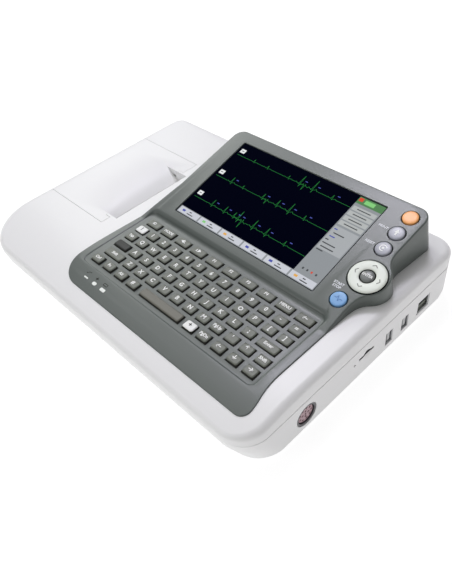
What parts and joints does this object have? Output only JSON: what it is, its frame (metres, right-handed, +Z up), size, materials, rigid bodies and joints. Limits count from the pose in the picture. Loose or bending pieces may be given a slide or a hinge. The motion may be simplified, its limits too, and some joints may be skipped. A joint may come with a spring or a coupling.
{
  "type": "portable electrocardiograph",
  "caption": "Desktop ECG machine: wedge display with touch screen, typing keyboard, thermal chart printer under a hinged door, ports on the right side.",
  "frame": {"origin": "middle of the footprint's bounding box, on the surface the rubber feet stand on", "axes": "+X to the operator's right (printer on the left), +Y towards the back where the display rises, +Z up"},
  "size_m": [0.338, 0.242, 0.0804],
  "materials": {
    "white_shell": "fine satin moulded plastic",
    "grey_panel": "satin moulded plastic",
    "grey_key": "satin",
    "dark_key": "satin",
    "white_key": "satin",
    "orange_button": "translucent satin",
    "metal_button": "metallised satin",
    "blue_button": "satin",
    "ring_plastic": "satin",
    "screen_glass": "glossy",
    "lamp_plastic": "clear satin",
    "black_plastic": "satin",
    "socket_ring": "satin",
    "socket_insert": "satin",
    "circuit_board": "solder mask",
    "steel": "plain",
    "brass": "plated",
    "rubber": "matt",
    "gear_plastic": "natural acetal",
    "battery_wrap": "shrink sleeve",
    "paper": "thermal paper"
  },
  "bodies": {
    "case": {"upper_case": "white_shell", "lower_case": "white_shell", "door_hinge_pin": "steel", "foot_front_left": "rubber", "foot_front_right": "rubber", "foot_rear_right": "rubber", "foot_rear_left": "rubber", "case_screw_front_left": "steel", "case_screw_front_right": "steel", "case_screw_rear_right": "steel", "case_screw_rear_left": "steel", "battery_cover": "white_shell", "battery_pack": "battery_wrap", "control_panel": "grey_panel", "keyboard_frame": "grey_panel", "indicator_light_guide": "lamp_plastic", "touch_screen": "screen_glass", "lcd_module": "black_plastic", "button_board": "circuit_board", "printer_frame": "black_plastic", "stepper_motor": "steel", "thermal_print_head": "steel", "keypad_board": "circuit_board", "main_board": "circuit_board", "power_supply_board": "circuit_board", "ecg_input_board": "circuit_board", "speaker": "black_plastic", "usb_socket_front": "steel", "usb_socket_rear": "steel", "network_socket": "steel", "memory_card_socket": "black_plastic", "ecg_socket_shell": "socket_ring", "ecg_socket_insert": "socket_insert", "mains_inlet": "black_plastic", "equipotential_stud": "brass"},
    "printer_door": {"printer_door": "white_shell"},
    "platen": {"platen_roller": "rubber", "platen_gear": "gear_plastic"},
    "idler": {"idler_gear": "gear_plastic"},
    "pinion": {"motor_pinion": "brass"},
    "paper_roll": {"paper_roll": "paper"},
    "mains_rocker": {"mains_switch_rocker": "black_plastic"},
    "navigation_cradle": {"navigation_cradle": "black_plastic"},
    "navigation_ring": {"navigation_ring": "ring_plastic"},
    "power_button": {"power_button": "orange_button"},
    "report_button": {"report_button": "metal_button"},
    "patient_button": {"patient_button": "metal_button"},
    "start_button": {"start_button": "blue_button"},
    "enter_button": {"enter_button": "metal_button"},
    "function_key_row": {"function_key_row": "grey_key"},
    "number_key_row": {"number_key_row": "grey_key"},
    "upper_letter_key_row": {"upper_letter_key_row": "grey_key"},
    "home_letter_key_row": {"home_letter_key_row": "grey_key"},
    "lower_letter_key_row": {"lower_letter_key_row": "grey_key"},
    "modifier_key_row": {"modifier_key_row": "grey_key"},
    "arrow_key_row": {"arrow_key_row": "grey_key"},
    "white_key_back": {"white_key_back": "white_key"},
    "blank_key": {"blank_key": "dark_key"},
    "space_bar": {"space_bar": "grey_key"},
    "white_key_front": {"white_key_front": "white_key"}
  },
  "joints": [
    {"name": "printer_door_hinge", "type": "hinge", "parent": "case", "child": "printer_door", "pos_m": [-0.1625, 0, 0.04], "axis": [0, -1, 0], "range_deg": [0, 95]},
    {"name": "platen_turn", "type": "hinge", "parent": "printer_door", "child": "platen", "pos_m": [-0.0925, 0, 0.033], "axis": [0, 1, 0], "continuous": true},
    {"name": "idler_turn", "type": "hinge", "parent": "case", "child": "idler", "pos_m": [-0.08451, 0, 0.02007], "axis": [0, 1, 0], "continuous": true},
    {"name": "motor_turn", "type": "hinge", "parent": "case", "child": "pinion", "pos_m": [-0.074, 0, 0.0162], "axis": [0, 1, 0], "continuous": true},
    {"name": "paper_roll_turn", "type": "hinge", "parent": "case", "child": "paper_roll", "pos_m": [-0.122, 0, 0.0265], "axis": [0, 1, 0], "continuous": true},
    {"name": "mains_switch", "type": "hinge", "parent": "case", "child": "mains_rocker", "pos_m": [0.069, 0.116, 0.0165], "axis": [0, 0, -1], "range_deg": [0, 14]},
    {"name": "navigation_up_down", "type": "hinge", "parent": "case", "child": "navigation_cradle", "pos_m": [0.14565, 0.03232, 0.05747], "axis": [1, 0, 0], "range_deg": [-2, 2], "stiffness_Nm_per_rad": 0.4},
    {"name": "navigation_left_right", "type": "hinge", "parent": "navigation_cradle", "child": "navigation_ring", "pos_m": [0.14565, 0.03232, 0.05747], "axis": [0, 0.9673, 0.2538], "range_deg": [-2, 2], "stiffness_Nm_per_rad": 0.4},
    {"name": "power_button_press", "type": "slide", "parent": "case", "child": "power_button", "axis": [0, 0.2538, -0.9673], "range_m": [0, 0.001], "stiffness_N_per_m": 300},
    {"name": "report_button_press", "type": "slide", "parent": "case", "child": "report_button", "axis": [0, 0.2538, -0.9673], "range_m": [0, 0.001], "stiffness_N_per_m": 300},
    {"name": "patient_button_press", "type": "slide", "parent": "case", "child": "patient_button", "axis": [0, 0.2538, -0.9673], "range_m": [0, 0.001], "stiffness_N_per_m": 300},
    {"name": "start_button_press", "type": "slide", "parent": "case", "child": "start_button", "axis": [0, 0.2538, -0.9673], "range_m": [0, 0.001], "stiffness_N_per_m": 300},
    {"name": "enter_button_press", "type": "slide", "parent": "case", "child": "enter_button", "axis": [0, 0.2538, -0.9673], "range_m": [0, 0.001], "stiffness_N_per_m": 300},
    {"name": "function_key_row_press", "type": "slide", "parent": "case", "child": "function_key_row", "axis": [0, 0, -1], "range_m": [0, 0.001], "stiffness_N_per_m": 400},
    {"name": "number_key_row_press", "type": "slide", "parent": "case", "child": "number_key_row", "axis": [0, 0, -1], "range_m": [0, 0.001], "stiffness_N_per_m": 400},
    {"name": "upper_letter_key_row_press", "type": "slide", "parent": "case", "child": "upper_letter_key_row", "axis": [0, 0, -1], "range_m": [0, 0.001], "stiffness_N_per_m": 400},
    {"name": "home_letter_key_row_press", "type": "slide", "parent": "case", "child": "home_letter_key_row", "axis": [0, 0, -1], "range_m": [0, 0.001], "stiffness_N_per_m": 400},
    {"name": "lower_letter_key_row_press", "type": "slide", "parent": "case", "child": "lower_letter_key_row", "axis": [0, 0, -1], "range_m": [0, 0.001], "stiffness_N_per_m": 400},
    {"name": "modifier_key_row_press", "type": "slide", "parent": "case", "child": "modifier_key_row", "axis": [0, 0, -1], "range_m": [0, 0.001], "stiffness_N_per_m": 400},
    {"name": "arrow_key_row_press", "type": "slide", "parent": "case", "child": "arrow_key_row", "axis": [0, 0, -1], "range_m": [0, 0.001], "stiffness_N_per_m": 400},
    {"name": "white_key_back_press", "type": "slide", "parent": "case", "child": "white_key_back", "axis": [0, 0, -1], "range_m": [0, 0.001], "stiffness_N_per_m": 400},
    {"name": "blank_key_press", "type": "slide", "parent": "case", "child": "blank_key", "axis": [0, 0, -1], "range_m": [0, 0.001], "stiffness_N_per_m": 400},
    {"name": "space_bar_press", "type": "slide", "parent": "case", "child": "space_bar", "axis": [0, 0, -1], "range_m": [0, 0.001], "stiffness_N_per_m": 400},
    {"name": "white_key_front_press", "type": "slide", "parent": "case", "child": "white_key_front", "axis": [0, 0, -1], "range_m": [0, 0.001], "stiffness_N_per_m": 400}
  ],
  "couplings": [
    {"joint": "idler_turn", "follows": "platen_turn", "ratio": -1.1111},
    {"joint": "motor_turn", "follows": "platen_turn", "ratio": 2},
    {"joint": "paper_roll_turn", "follows": "platen_turn", "ratio": 0.28571}
  ]
}
